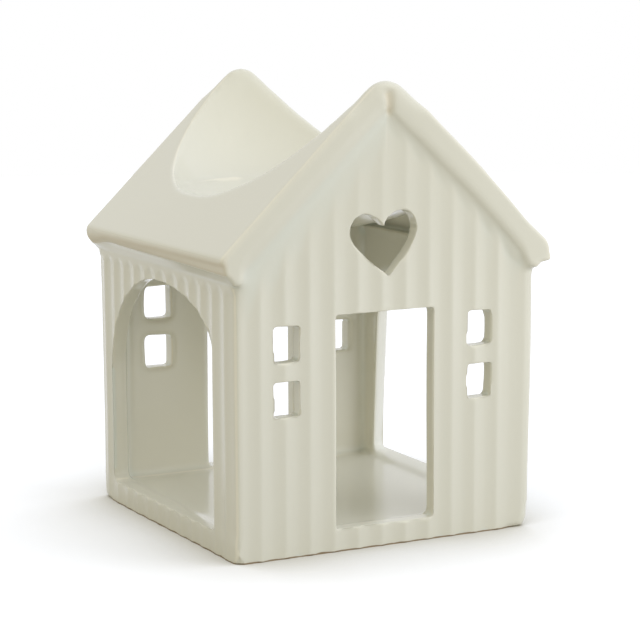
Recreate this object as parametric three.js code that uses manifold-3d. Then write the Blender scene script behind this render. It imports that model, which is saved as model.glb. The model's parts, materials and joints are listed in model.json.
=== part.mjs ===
// House-shaped wax burner: a small glazed ceramic house with a wax bowl sunk into its roof.
// Eight clay pieces are luted together: a base, two gabled walls, two arched side walls,
// two roof slopes and the bowl. Millimetres, +Z up, front of the house towards -Y.

import * as THREE from 'three';
import { mergeVertices } from 'three/addons/utils/BufferGeometryUtils.js';
import Module from 'manifold-3d';

// Body
const BODY_WIDTH = 100;        // across the outer faces of the side walls
const BODY_DEPTH = 101;        // across the outer faces of the front and back walls
const WALL = 6;                // thickness of every wall
const SIDE_WALL_HEIGHT = 83.9; // where the roof's underside meets a side wall's outer face
const CORNER_RADIUS = 2.5;     // upright outer corners
const BASE_THICKNESS = 6;
const SEAM = 0.3;              // luting gap between neighbouring pieces

// Shallow flutes on the outer faces, with a narrow arris between neighbours
const FLUTE_PITCH = 8.1;
const FLUTE_DEPTH = 0.6;
const FRONT_FIRST_ARRIS = 8.4; // from a gabled wall's own left end
const SIDE_FIRST_ARRIS = 7.1;  // from a side wall's own left end
const FRONT_FLUTES = 10;
const SIDE_FLUTES = 9;

// Roof
const ROOF_PITCH = THREE.MathUtils.degToRad(44);
const ROOF_THICKNESS = 8;
const RIDGE_RADIUS = 8;
const EAVE_OVERHANG = 6;       // eave nose beyond the side wall
const EAVE_NOSE_RADIUS = 3.4;
const SOFFIT_FACING = THREE.MathUtils.degToRad(-75); // where the nose turns into the soffit
const RAKE_OVERHANG = 1.9;     // roof beyond the gabled walls
const RAKE_ROUNDING = 3;

// Wax bowl
const BOWL_WALL = 5;
const BOWL_OFFSET = 1.5;       // bowl axis behind the middle of the house
const BOWL_RIM = 3.4;          // narrowest strip of roof left behind the bowl
const BOWL_DROP = 10.9;        // bowl centre below the sharp apex of the roof planes
const BOWL_FLOOR = 95;         // height of the bowl's shallow bottom above the table
const BOWL_FLOOR_RADIUS = 110; // rounding of that bottom

// Openings
const SILL_LIP = 1;            // sills above the base
const CUT_RADIUS = 1.5;        // corners of the cut openings
const DOOR_WIDTH = 33.3;
const DOOR_HEAD = 71.9;
const PANE_WIDTH = 9.3;
const PANE_HEIGHT = 10.7;
const PANE_GAP = 5.7;          // clay bar between the upper and lower pane
const WINDOW_HEAD = 69.7;
const HEART_WIDTH = 22.6;
const HEART_TIP = 82;
const HEART_HEIGHT = 19.4;
const HEART_NOTCH = 4.4;       // depth of the notch between the lobes
const HEART_WIDEST = 5.4;      // widest level below the top of the lobes
const HEART_SHOULDER = 4.3;    // how far the flanks run straight down from the widest level
const HEART_POINT = 3.9;       // how far the flanks run straight up from the tip
const HEART_POINT_HALF = 3.4;  // half width of the tip at that height
const HEART_NOTCH_HALF = 2;    // half width of the notch
const ARCH_FRONT_JAMB = 15.5;  // from the front face of the house to the arch
const ARCH_BACK_JAMB = 9.5;    // from the arch to the back face of the house
const ARCH_CROWN = 5;          // crown of the arch behind the middle of the house
const ARCH_FRONT_RISE = 18;    // from the front jamb's top to the crown
const ARCH_BACK_RISE = 34;     // from the back jamb's top to the crown
const ARCH_LINTEL = 6;         // side wall left above the crown, at its outer face
const ARCH_CORNER = 3;         // lower corners

// How finely round shapes are faceted
const SPHERE_SIDES = 40;
const BOWL_FLOOR_SIDES = 96;
const CURVE_STEPS = 6;
const QUARTER_ELLIPSE = 0.5523; // handle of a curve that follows a quarter of an ellipse
const THROUGH = 2;             // how far a cutter runs past what it cuts

const GLAZE = { color: 0xd7d6c8, roughness: 0.2, metalness: 0 };
const GLAZE_INSIDE = { color: 0xcdcab8, roughness: 0.22, metalness: 0 };

// Levels and planes that the pieces share
const halfWidth = BODY_WIDTH / 2;
const halfDepth = BODY_DEPTH / 2;
const slope = Math.tan(ROOF_PITCH);
const undersideApex = SIDE_WALL_HEIGHT + halfWidth * slope;
const topApex = undersideApex + ROOF_THICKNESS / Math.cos(ROOF_PITCH);
const ridgeHeight = topApex - RIDGE_RADIUS * (1 / Math.cos(ROOF_PITCH) - 1);
const sill = BASE_THICKNESS + SILL_LIP;
const roomHalfWidth = halfWidth - WALL;
const roomHalfDepth = halfDepth - WALL;
const roofHalfDepth = halfDepth + RAKE_OVERHANG;
const bowlRadius = roofHalfDepth - BOWL_OFFSET - BOWL_RIM;
const bowlCentre = topApex - BOWL_DROP;

const wasm = await Module();
wasm.setup();

// A closed geometry as a solid that can be joined and cut
function toSolid(geometry) {
  geometry.deleteAttribute('normal');
  geometry.deleteAttribute('uv');
  const merged = mergeVertices(geometry);
  const vertProperties = new Float32Array(merged.attributes.position.array);
  const triVerts = new Uint32Array(merged.index.array);
  return new wasm.Manifold(new wasm.Mesh({ numProp: 3, vertProperties, triVerts }));
}

// A finished solid as a named mesh
function piece(name, solid, finish) {
  const { vertProperties, triVerts } = solid.getMesh();
  const geometry = new THREE.BufferGeometry();
  geometry.setAttribute('position', new THREE.BufferAttribute(vertProperties, 3));
  geometry.setIndex(new THREE.BufferAttribute(triVerts, 1));
  geometry.computeVertexNormals();
  const mesh = new THREE.Mesh(geometry, new THREE.MeshStandardMaterial(finish));
  mesh.name = name;
  return mesh;
}

// A front-view outline, x across and z up, swept from one depth to another with rounded ends
function alongDepth(outline, front, back, rounding = 0) {
  const geometry = new THREE.ExtrudeGeometry(outline, {
    depth: back - front - 2 * rounding,
    curveSegments: CURVE_STEPS,
    bevelEnabled: rounding > 0,
    bevelThickness: rounding,
    bevelSize: rounding,
    bevelOffset: -rounding,
    bevelSegments: 3,
  });
  geometry.rotateX(Math.PI / 2);
  geometry.translate(0, back - rounding, 0);
  return toSolid(geometry);
}

// A side-view outline, y across and z up, swept from left to right
function alongWidth(outline, left, right) {
  const geometry = new THREE.ExtrudeGeometry(outline, {
    depth: right - left,
    curveSegments: CURVE_STEPS,
    bevelEnabled: false,
  });
  geometry.rotateX(Math.PI / 2);
  geometry.rotateZ(Math.PI / 2);
  geometry.translate(left, 0, 0);
  return toSolid(geometry);
}

function ball(radius, height, sides) {
  const geometry = new THREE.SphereGeometry(radius, sides, sides / 2);
  geometry.rotateX(Math.PI / 2);
  geometry.translate(0, BOWL_OFFSET, height);
  return toSolid(geometry);
}

// The round body of the bowl with its shallow bottom, grown by a wall thickness
function bowlBody(growth) {
  const sides = ball(bowlRadius + growth, bowlCentre, SPHERE_SIDES);
  const bottom = ball(BOWL_FLOOR_RADIUS + growth, BOWL_FLOOR + BOWL_FLOOR_RADIUS, BOWL_FLOOR_SIDES);
  return sides.intersect(bottom);
}

function box(left, right, front, back, bottom, top) {
  const geometry = new THREE.BoxGeometry(right - left, back - front, top - bottom);
  geometry.translate((left + right) / 2, (front + back) / 2, (bottom + top) / 2);
  return toSolid(geometry);
}

function roundedRectangle(left, right, bottom, top, radius) {
  const outline = new THREE.Shape();
  outline.moveTo(left + radius, bottom);
  outline.lineTo(right - radius, bottom);
  outline.absarc(right - radius, bottom + radius, radius, -Math.PI / 2, 0, false);
  outline.lineTo(right, top - radius);
  outline.absarc(right - radius, top - radius, radius, 0, Math.PI / 2, false);
  outline.lineTo(left + radius, top);
  outline.absarc(left + radius, top - radius, radius, Math.PI / 2, Math.PI, false);
  outline.lineTo(left, bottom + radius);
  outline.absarc(left + radius, bottom + radius, radius, Math.PI, 1.5 * Math.PI, false);
  return outline;
}

function heartOutline() {
  const top = HEART_TIP + HEART_HEIGHT;
  const notch = top - HEART_NOTCH;
  const widest = top - HEART_WIDEST;
  const half = HEART_WIDTH / 2;
  const lobe = (8 * top - notch - widest) / 6; // handles that bring the lobes up to the top
  const shoulder = widest - HEART_SHOULDER;
  const point = HEART_TIP + HEART_POINT;
  const outline = new THREE.Shape();
  outline.moveTo(0, HEART_TIP);
  outline.bezierCurveTo(HEART_POINT_HALF, point, half, shoulder, half, widest);
  outline.bezierCurveTo(half, lobe, HEART_NOTCH_HALF, lobe, 0, notch);
  outline.bezierCurveTo(-HEART_NOTCH_HALF, lobe, -half, lobe, -half, widest);
  outline.bezierCurveTo(-half, shoulder, -HEART_POINT_HALF, point, 0, HEART_TIP);
  return outline;
}

function archOutline() {
  const front = -halfDepth + ARCH_FRONT_JAMB;
  const back = halfDepth - ARCH_BACK_JAMB;
  const head = SIDE_WALL_HEIGHT - ARCH_LINTEL;
  const frontSpring = head - ARCH_FRONT_RISE;
  const backSpring = head - ARCH_BACK_RISE;
  const frontHandle = ARCH_CROWN - QUARTER_ELLIPSE * (ARCH_CROWN - front);
  const backHandle = ARCH_CROWN + QUARTER_ELLIPSE * (back - ARCH_CROWN);
  const frontLift = frontSpring + QUARTER_ELLIPSE * ARCH_FRONT_RISE;
  const backLift = backSpring + QUARTER_ELLIPSE * ARCH_BACK_RISE;
  const radius = ARCH_CORNER;
  const outline = new THREE.Shape();
  outline.moveTo(front + radius, sill);
  outline.lineTo(back - radius, sill);
  outline.absarc(back - radius, sill + radius, radius, -Math.PI / 2, 0, false);
  outline.lineTo(back, backSpring);
  outline.bezierCurveTo(back, backLift, backHandle, head, ARCH_CROWN, head);
  outline.bezierCurveTo(frontHandle, head, front, frontLift, front, frontSpring);
  outline.lineTo(front, sill + radius);
  outline.absarc(front + radius, sill + radius, radius, Math.PI, 1.5 * Math.PI, false);
  return outline;
}

// Everything below the roof planes, out to a given half width
function underRoofOutline(half) {
  const drop = SEAM / Math.cos(ROOF_PITCH);
  const apex = undersideApex - drop;
  const outline = new THREE.Shape();
  outline.moveTo(-half, -THROUGH);
  outline.lineTo(half, -THROUGH);
  outline.lineTo(half, apex - half * slope);
  outline.lineTo(0, apex);
  outline.lineTo(-half, apex - half * slope);
  return outline;
}

// Section of both roof slopes: rounded ridge, round eave noses, level soffits
function roofSection() {
  const noseX = halfWidth + EAVE_OVERHANG - EAVE_NOSE_RADIUS;
  const noseZ = topApex - noseX * slope - EAVE_NOSE_RADIUS / Math.cos(ROOF_PITCH);
  const ridgeCentre = ridgeHeight - RIDGE_RADIUS;
  const rightFacing = Math.PI / 2 - ROOF_PITCH;
  const leftFacing = Math.PI / 2 + ROOF_PITCH;
  const outline = new THREE.Shape();
  outline.moveTo(0, undersideApex);
  outline.lineTo(halfWidth, SIDE_WALL_HEIGHT);
  outline.absarc(noseX, noseZ, EAVE_NOSE_RADIUS, SOFFIT_FACING, rightFacing, false);
  outline.absarc(0, ridgeCentre, RIDGE_RADIUS, rightFacing, leftFacing, false);
  outline.absarc(-noseX, noseZ, EAVE_NOSE_RADIUS, leftFacing, Math.PI - SOFFIT_FACING, false);
  outline.lineTo(-halfWidth, SIDE_WALL_HEIGHT);
  return outline;
}

// Plan of a wall along X: outer face at y = 0 with hollow flutes, flat inner face at y = WALL
function wallPlan(length, firstArris, flutes, corner) {
  const half = length / 2;
  const outline = new THREE.Shape();
  outline.moveTo(-half, WALL);
  outline.lineTo(-half, corner);
  if (corner > 0) {
    outline.absarc(-half + corner, corner, corner, Math.PI, 1.5 * Math.PI, false);
  }
  let arris = firstArris - half;
  outline.lineTo(arris, 0);
  for (let flute = 0; flute < flutes; flute += 1) {
    const next = arris + FLUTE_PITCH;
    outline.quadraticCurveTo(arris + FLUTE_PITCH / 2, 2 * FLUTE_DEPTH, next, 0);
    arris = next;
  }
  if (corner > 0) {
    outline.absarc(half - corner, corner, corner, 1.5 * Math.PI, 2 * Math.PI, false);
  }
  outline.lineTo(half, WALL);
  return outline;
}

// A wall stood upright on its plan, turned to its side of the house and cut off under the roof
function wallBlank(length, firstArris, flutes, corner, turn, distance) {
  const geometry = new THREE.ExtrudeGeometry(wallPlan(length, firstArris, flutes, corner), {
    depth: topApex,
    curveSegments: CURVE_STEPS,
    bevelEnabled: false,
  });
  geometry.translate(0, -distance, 0);
  geometry.rotateZ(turn);
  const underRoof = alongDepth(underRoofOutline(halfWidth + THROUGH), -roofHalfDepth, roofHalfDepth);
  return toSolid(geometry).intersect(underRoof);
}

// Door, window panes and heart, cut through the front and back walls alike
function gableCuts() {
  const doorHalf = DOOR_WIDTH / 2;
  const windowCentre = (doorHalf + halfWidth) / 2;
  const outlines = [
    roundedRectangle(-doorHalf, doorHalf, sill, DOOR_HEAD, CUT_RADIUS),
    heartOutline(),
  ];
  for (const side of [-1, 1]) {
    const left = side * windowCentre - PANE_WIDTH / 2;
    for (const head of [WINDOW_HEAD, WINDOW_HEAD - PANE_HEIGHT - PANE_GAP]) {
      outlines.push(roundedRectangle(left, left + PANE_WIDTH, head - PANE_HEIGHT, head, CUT_RADIUS));
    }
  }
  return outlines.map((outline) => alongDepth(outline, -roofHalfDepth, roofHalfDepth));
}

const bowlHollow = bowlBody(0);

function gabledWall(turn) {
  let wall = wallBlank(BODY_WIDTH, FRONT_FIRST_ARRIS, FRONT_FLUTES, CORNER_RADIUS, turn, halfDepth);
  for (const cut of gableCuts()) {
    wall = wall.subtract(cut);
  }
  return wall.subtract(bowlHollow);
}

function sideWall(turn) {
  const length = 2 * (roomHalfDepth - SEAM);
  const wall = wallBlank(length, SIDE_FIRST_ARRIS, SIDE_FLUTES, 0, turn, halfWidth);
  const arch = alongWidth(archOutline(), -halfWidth - THROUGH, halfWidth + THROUGH);
  return wall.subtract(arch);
}

function baseSlab() {
  const half = roomHalfWidth - SEAM;
  const depth = roomHalfDepth - SEAM;
  return box(-half, half, -depth, depth, 0, BASE_THICKNESS);
}

function roofSlope(side) {
  const roof = alongDepth(roofSection(), -roofHalfDepth, roofHalfDepth, RAKE_ROUNDING);
  const near = side * SEAM / 2;
  const far = side * (halfWidth + EAVE_OVERHANG + THROUGH);
  const ends = [near, far].sort((a, b) => a - b);
  const half = box(ends[0], ends[1], -roofHalfDepth - THROUGH, roofHalfDepth + THROUGH, 0, topApex);
  return roof.intersect(half).subtract(bowlHollow);
}

// The bowl's shell, trimmed to the room under the roof
function waxBowl() {
  const room = roomHalfDepth - SEAM;
  const bay = alongDepth(underRoofOutline(roomHalfWidth - SEAM), -room, room);
  return bowlBody(BOWL_WALL).subtract(bowlHollow).intersect(bay);
}

const house = new THREE.Group();
house.add(piece('base_slab', baseSlab(), GLAZE_INSIDE));
house.add(piece('front_wall', gabledWall(0), GLAZE));
house.add(piece('back_wall', gabledWall(Math.PI), GLAZE));
house.add(piece('left_wall', sideWall(-Math.PI / 2), GLAZE));
house.add(piece('right_wall', sideWall(Math.PI / 2), GLAZE));
house.add(piece('left_roof_slope', roofSlope(-1), GLAZE));
house.add(piece('right_roof_slope', roofSlope(1), GLAZE));
house.add(piece('wax_bowl', waxBowl(), GLAZE_INSIDE));

export default house;
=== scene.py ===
import json
import math

import bmesh
import bpy
import numpy as np
from bpy.props import FloatProperty, FloatVectorProperty, IntProperty, PointerProperty
from bpy.types import Operator, Panel, PropertyGroup
from mathutils import Matrix, Vector
from mathutils.geometry import interpolate_bezier

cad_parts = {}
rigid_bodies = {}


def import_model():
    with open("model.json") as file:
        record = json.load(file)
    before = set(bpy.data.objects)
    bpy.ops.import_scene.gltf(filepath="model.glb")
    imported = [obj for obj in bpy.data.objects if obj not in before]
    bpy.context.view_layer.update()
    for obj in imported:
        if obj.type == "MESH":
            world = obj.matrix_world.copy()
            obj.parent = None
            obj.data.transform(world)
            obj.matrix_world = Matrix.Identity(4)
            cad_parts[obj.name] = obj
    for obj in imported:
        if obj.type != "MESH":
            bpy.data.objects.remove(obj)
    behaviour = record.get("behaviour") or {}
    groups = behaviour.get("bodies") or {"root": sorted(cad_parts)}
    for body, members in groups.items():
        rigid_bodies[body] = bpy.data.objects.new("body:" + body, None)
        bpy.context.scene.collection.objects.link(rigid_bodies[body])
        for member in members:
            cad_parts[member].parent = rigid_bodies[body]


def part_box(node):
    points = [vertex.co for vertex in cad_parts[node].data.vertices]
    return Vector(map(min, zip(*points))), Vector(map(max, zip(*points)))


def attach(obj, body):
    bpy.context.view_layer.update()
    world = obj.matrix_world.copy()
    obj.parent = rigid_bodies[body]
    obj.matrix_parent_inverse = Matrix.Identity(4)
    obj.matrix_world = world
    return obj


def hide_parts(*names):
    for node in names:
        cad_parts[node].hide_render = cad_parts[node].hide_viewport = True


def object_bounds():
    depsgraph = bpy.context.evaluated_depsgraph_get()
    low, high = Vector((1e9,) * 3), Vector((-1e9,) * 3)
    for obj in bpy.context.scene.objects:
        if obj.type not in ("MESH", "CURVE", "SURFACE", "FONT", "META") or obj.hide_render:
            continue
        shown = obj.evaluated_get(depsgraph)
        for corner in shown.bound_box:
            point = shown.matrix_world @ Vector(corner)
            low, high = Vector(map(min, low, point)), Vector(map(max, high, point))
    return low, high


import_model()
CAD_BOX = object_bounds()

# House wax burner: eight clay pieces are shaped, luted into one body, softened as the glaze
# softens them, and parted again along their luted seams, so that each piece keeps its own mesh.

bl_info = {
    "name": "House Wax Burner",
    "version": (1, 0, 0),
    "blender": (4, 5, 0),
    "location": "3D View > Sidebar > Burner",
    "description": "Builds a glazed ceramic house with a wax bowl in its roof",
    "category": "Add Mesh",
}

MM = 0.001
TOLERANCE = 0.01 * MM
BODY = "root"
CLAY = "clay_"
SKIN = "house_skin"
GLAZE_DEPTH = "glaze_depth"
GLAZE_PAINTED_SHADE = "glaze_rubbed"
SHADING = "shading"
SEAM = "seam"
PIECES = (
    "base_slab",
    "front_wall",
    "back_wall",
    "left_wall",
    "right_wall",
    "left_roof_slope",
    "right_roof_slope",
    "wax_bowl",
)

# Sizes that the frame already holds
FRONT_LOW, FRONT_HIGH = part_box("front_wall")
ROOF_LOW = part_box("left_roof_slope")[0]
HALF_WIDTH = FRONT_HIGH.x
HALF_DEPTH = -FRONT_LOW.y
WALL = FRONT_HIGH.y - FRONT_LOW.y
ROOF_HALF_DEPTH = -ROOF_LOW.y
EAVE = -ROOF_LOW.x
BASE_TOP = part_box("base_slab")[1].z


def length(name, description, millimetres):
    """A length given in millimetres."""
    return FloatProperty(
        name=name, description=description, default=millimetres * MM, unit="LENGTH", precision=5
    )


def angle(name, description, degrees):
    """An angle given in degrees."""
    return FloatProperty(
        name=name, description=description, default=math.radians(degrees), unit="ROTATION"
    )


def amount(name, description, default):
    """A plain number."""
    return FloatProperty(name=name, description=description, default=default)


def count(name, description, default):
    """A whole number."""
    return IntProperty(name=name, description=description, default=default)


def colour(name, description, red, green, blue):
    """A colour given as display values from 0 to 255."""
    linear = [((c / 255 + 0.055) / 1.055) ** 2.4 for c in (red, green, blue)]
    return FloatVectorProperty(
        name=name, description=description, subtype="COLOR", size=4, default=(*linear, 1.0)
    )


class BurnerBody(PropertyGroup):
    front_left: length("Front left corner", "Rounding of this upright corner", 2.6)
    front_right: length("Front right corner", "Rounding of this upright corner", 1.4)
    back_left: length("Back left corner", "Rounding of this upright corner", 1.4)
    back_right: length("Back right corner", "Rounding of this upright corner", 2.4)
    wall_height: length("Wall height", "Where the roof's underside meets a side wall", 83.9)
    lap: length("Lap", "How far luted pieces run into each other", 2)
    left_wall: length("Left wall", "Thickness of the left wall", 5.0)
    right_wall: length("Right wall", "Thickness of the right wall", 7.0)
    flute_pitch: length("Flute pitch", "From one arris to the next", 8.07)
    flute_depth: length("Flute depth", "Depth of the hollow flutes", 0.56)
    arris: amount("Arris", "Rounding of an arris as a share of the pitch", 0.07)
    front_arris: length("Front arris", "First arris from a gabled wall's left end", 0.3)
    side_arris: length("Side arris", "First arris from the back end of a side wall", 5.3)
    gable_fade: amount("Gable fade", "Share of their depth that flutes lose high in a gable", 0.45)
    foot_fade: amount("Foot fade", "Share that the side walls' flutes lose at the foot", 0.5)
    flute_top: length("Flute top", "Height of the flutes' round tops on the side walls", 82.2)
    flute_crown: length("Flute crown", "Rise of those round tops", 2.0)
    unevenness: length("Unevenness", "Gentle swells of the hand-pressed clay", 0.1)
    bulge: length("Bulge", "How far three of the upright corners stand out", 2.0)


class BurnerRoof(PropertyGroup):
    pitch: angle("Pitch", "Slope of the roof", 44)
    thickness: length("Thickness", "Of the roof slabs", 8.35)
    ridge_radius: length("Ridge radius", "Rounding of the ridge", 8)
    nose_reach: length("Nose reach", "How far the left eave's sharp nose would pass its edge", 0.6)
    nose_round: length("Nose rounding", "How far the left eave is rounded along its faces", 2.3)
    nose_droop: length("Nose droop", "How far the left eave's nose hangs down at the back", 1.4)
    eave_cut: length("Eave cut", "How much shorter the left eave is at the front", 1.0)
    right_eave: length("Right eave", "How much further the right eave reaches", 0.9)
    right_nose_bottom: length("Right nose bottom", "Height of the right eave's lower edge", 83.8)
    right_nose_round: length("Right nose rounding", "How far the right eave is rounded", 2.1)
    cove_top: length("Cove top", "Where the right soffit turns into the cove", 83.3)
    cove_width: length("Cove width", "How far the cove stands off the wall", 2.2)
    cove_bottom: length("Cove bottom", "Where the right cove meets the wall", 81.8)
    lip: length("Lip", "How far the left cove's lower edge stands off the wall", 0.5)
    lip_bottom: length("Lip bottom", "Where the left cove's lower edge meets the wall", 82.8)
    hollow: length("Hollow", "Depth of the left cove", 0.2)
    rake_round: length("Rake rounding", "Rounding of the roof's front and back edges", 1.0)
    bow: length("Bow", "How far the right front rake bows up and down", 0.6)
    right_lift: length("Right lift", "How much higher the right front rake stands", 0.5)
    pinch: length("Pinch", "Depth of the pinch mark under the front peak", 1.0)
    bowl_offset: length("Bowl offset", "Bowl axis behind the middle of the house", 0.3)
    bowl_radius: length("Bowl radius", "Inside of the wax bowl", 48.6)
    bowl_wall: length("Bowl wall", "Thickness of the wax bowl", 5)
    bowl_drop: length("Bowl drop", "Bowl centre below the sharp apex of the roof", 12.8)
    bowl_floor: length("Bowl floor", "Height of the bowl's shallow bottom", 97)
    floor_radius: length("Floor radius", "Rounding of the bowl's shallow bottom", 110)


class BurnerOpenings(PropertyGroup):
    sill: length("Sill", "Height of the sills", 7)
    corner: length("Corner", "Rounding of the cut corners", 0.5)
    stray: length("Stray", "How far the knife strays from its line", 0.1)
    door_width: length("Door width", "Across the door", 33.3)
    back_trim: length("Back trim", "How much narrower the back door is on the left", 1.3)
    door_head: length("Door head", "Top of the door", 71.9)
    pane_width: length("Pane width", "Across a front window pane", 8.5)
    pane_centre: length("Pane centre", "Front window panes from the middle", 32.8)
    back_pane_width: length("Back pane width", "Across a back window pane", 9.3)
    back_pane_centre: length("Back pane centre", "Back window panes from the middle", 33.3)
    pane_height: length("Pane height", "Up a window pane", 10.7)
    pane_gap: length("Pane gap", "Clay bar between two panes", 5.7)
    window_head: length("Window head", "Top of the upper panes", 69.7)
    heart_width: length("Heart width", "Across the heart", 22.6)
    heart_tip: length("Heart tip", "Height of the heart's point", 82)
    heart_height: length("Heart height", "From the point to the top of the lobes", 19.4)
    heart_notch: length("Heart notch", "Depth of the notch between the lobes", 4.4)
    heart_notch_half: length("Heart notch half", "How far the notch's curve leads outwards", 2)
    heart_widest: length("Heart widest", "Widest level below the top of the lobes", 5.4)
    heart_shoulder: length("Heart shoulder", "How far the flanks lead straight down from there", 4.3)
    heart_point: length("Heart point", "How far the flanks lead up from the point", 3.9)
    heart_point_half: length("Heart point half", "How far the flanks lead outwards there", 3.4)
    heart_tilt: amount("Heart tilt", "How much higher the heart's right lobe is cut", 0.05)
    heart_skew: amount("Heart skew", "How far the heart's point swings to the right", 0.12)
    arch_front: length("Arch front", "From the house's front to the arch", 15.5)
    arch_back: length("Arch back", "From the arch to the house's back", 9.5)
    arch_crown: length("Arch crown", "Crown of the arch behind the middle", 5)
    arch_front_rise: length("Arch front rise", "From the front jamb's top to the crown", 18)
    arch_back_rise: length("Arch back rise", "From the back jamb's top to the crown", 34)
    right_back_rise: length("Right back rise", "The same for the right wall's arch", 26)
    right_arch_back: length("Right arch back", "From the back to that arch", 8.4)
    right_splay: length("Right splay", "How far that arch's back jamb leans back at its foot", 3.2)
    right_slant: length("Right slant", "How far that jamb is cut forward on the room side", 7.5)
    arch_head: length("Arch head", "Top of the arch", 77.9)
    arch_corner: length("Arch corner", "Rounding of the arch's lower corners", 3)


class BurnerGlaze(PropertyGroup):
    voxel: length("Voxel", "Fineness of the luted body", 0.5)
    softening: count("Softening", "Rounds of smoothing that round off every edge", 4)
    room_softening: count("Room softening", "More rounds for the room inside", 80)
    left_rake_softening: count("Left rake softening", "More rounds under the left rakes", 160)
    right_rake_softening: count("Right rake softening", "More rounds under the right rakes", 64)
    rim_softening: count("Rim softening", "More rounds for the bowl's rim", 40)
    right_rim_softening: count("Right rim softening", "Further rounds for its right half", 90)
    peak_softening: count("Peak softening", "More rounds for both peaks", 150)
    foot_softening: count("Foot softening", "More rounds for the worn foot corners", 90)
    cream: colour("Cream", "The glaze on flat surfaces", 236, 234, 221)
    # Edge colour: glaze thinned over edges, made paler than the cream, so it is partly a painted
    # highlight along every edge.
    thin_and_highlight: colour("Thin", "Glaze drawn thin over edges", 250, 246, 231)
    pooled: colour("Pooled", "Glaze pooled in hollows", 234, 237, 228)
    # Painted shade: a warmer tone under the left eave's nose and in the pinch mark, where shade
    # falls.
    painted_shade: colour("Rubbed", "Glaze rubbed off down to its warm undertone", 238, 229, 210)
    bare: colour("Bare", "Unglazed clay of the foot", 148, 128, 100)
    gathered_left: amount("Gathered left", "Glaze gathered under the left rakes", 0.3)
    gathered_right: amount("Gathered right", "Glaze gathered under the right rakes", 0.12)
    # Strength of the painted highlight: a paler line along the left front rake's rounded edge.
    rake_highlight: amount("Rake thinning", "How thin the glaze is along the left front rake", 1.2)
    foot: length("Foot", "Height of the unglazed foot line", 0.7)
    roughness: amount("Roughness", "Gloss of the glaze", 0.17)


class BurnerStage(PropertyGroup):
    azimuth: angle("Azimuth", "Camera round the house", -27.11)
    elevation: angle("Elevation", "Camera above the floor", 9.08)
    roll: angle("Roll", "Camera roll", -0.24)
    distance: length("Distance", "Camera to target", 691.86)
    target_x: length("Target across", "Camera target from the middle", 3.69)
    target_z: length("Target height", "Camera target above the floor", 61.87)
    focal: length("Focal length", "Camera lens", 121.62)
    ambient: amount("Ambient", "Strength of the light from all round", 0.66)
    key: amount("Key", "How much stronger the light is from above", 0.295)
    side: amount("Side light", "Power of the soft light on the right, in watts", 0.7)
    glow: amount("Glow", "How much the seen floor glows to look white", 0.4)


def apex_under(context):
    """Height of the sharp apex of the roof's underside."""
    scene = context.scene
    return scene.burner_body.wall_height + HALF_WIDTH * math.tan(scene.burner_roof.pitch)


def apex_over(context):
    """Height of the sharp apex of the roof's top planes."""
    roof = context.scene.burner_roof
    return apex_under(context) + roof.thickness / math.cos(roof.pitch)


def roof_facing(context, side):
    """Outward direction of one roof slope, -1 for the left one and 1 for the right."""
    pitch = context.scene.burner_roof.pitch
    return Vector((side * math.sin(pitch), 0.0, math.cos(pitch)))


# Clay shaping

CURVE_STEPS = 14
CUT_TOLERANCE = 1e-8


def round_off(bm, corners, rounding, affect="VERTICES", segments=6):
    """Rounds the corners of a flat outline, or the edges of a slab."""
    bmesh.ops.bevel(
        bm,
        geom=corners,
        offset=rounding,
        offset_type="OFFSET",
        affect=affect,
        segments=segments,
        profile=0.5,
        material=-1,
    )


def outline(bm, points, rounding=0.0):
    """A closed outline in the XZ plane, with its corners rounded."""
    corners = [bm.verts.new((x, 0.0, z)) for x, z in points]
    bm.faces.new(corners)
    if rounding:
        round_off(bm, corners, rounding)


def round_ends(bm, ends, rounding, segments=6):
    """Rounds the rims of a slab's two end faces by a quarter circle of insets."""
    steps = [math.pi / 2 * i / segments for i in range(segments + 1)]
    for low, high in zip(steps, steps[1:]):
        bmesh.ops.inset_individual(
            bm,
            faces=ends,
            thickness=rounding * (math.cos(low) - math.cos(high)),
            depth=rounding * (math.sin(high) - math.sin(low)),
            use_even_offset=True,
        )


def thicken(bm, faces, depth):
    """Gives flat faces a thickness towards +Y."""
    grown = bmesh.ops.extrude_face_region(bm, geom=faces, use_keep_orig=True)
    moved = [v for v in grown["geom"] if isinstance(v, bmesh.types.BMVert)]
    bmesh.ops.translate(bm, verts=moved, vec=(0.0, depth, 0.0))
    bmesh.ops.recalc_face_normals(bm, faces=bm.faces)


def fill_between(bm):
    """Fills the area between the outer outline and the outlines of the openings."""
    bmesh.ops.delete(bm, geom=bm.faces[:], context="FACES_ONLY")
    filled = bmesh.ops.triangle_fill(bm, edges=bm.edges[:], use_beauty=True)
    return [f for f in filled["geom"] if isinstance(f, bmesh.types.BMFace)]


def edges_where(bm, test):
    """The edges whose two ends both pass a test of their place."""
    return [e for e in bm.edges if all(test(v.co) for v in e.verts)]


def near(a, b):
    """Whether two measures are the same, but for rounding."""
    return abs(a - b) < TOLERANCE


def clay_piece(context, name, bm):
    """Keeps a shaped solid as raw clay, until the body is luted together."""
    mesh = bpy.data.meshes.new(CLAY + name)
    bm.to_mesh(mesh)
    bm.free()
    clay = bpy.data.objects.new(CLAY + name, mesh)
    context.scene.collection.objects.link(clay)
    return clay


def apply_modifiers(context, clay):
    """Swaps an object's mesh for the shape that its modifiers give."""
    context.view_layer.update()
    shaped = bpy.data.meshes.new_from_object(
        clay.evaluated_get(context.evaluated_depsgraph_get())
    )
    clay.modifiers.clear()
    before = clay.data
    clay.data = shaped
    bpy.data.meshes.remove(before)


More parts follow.
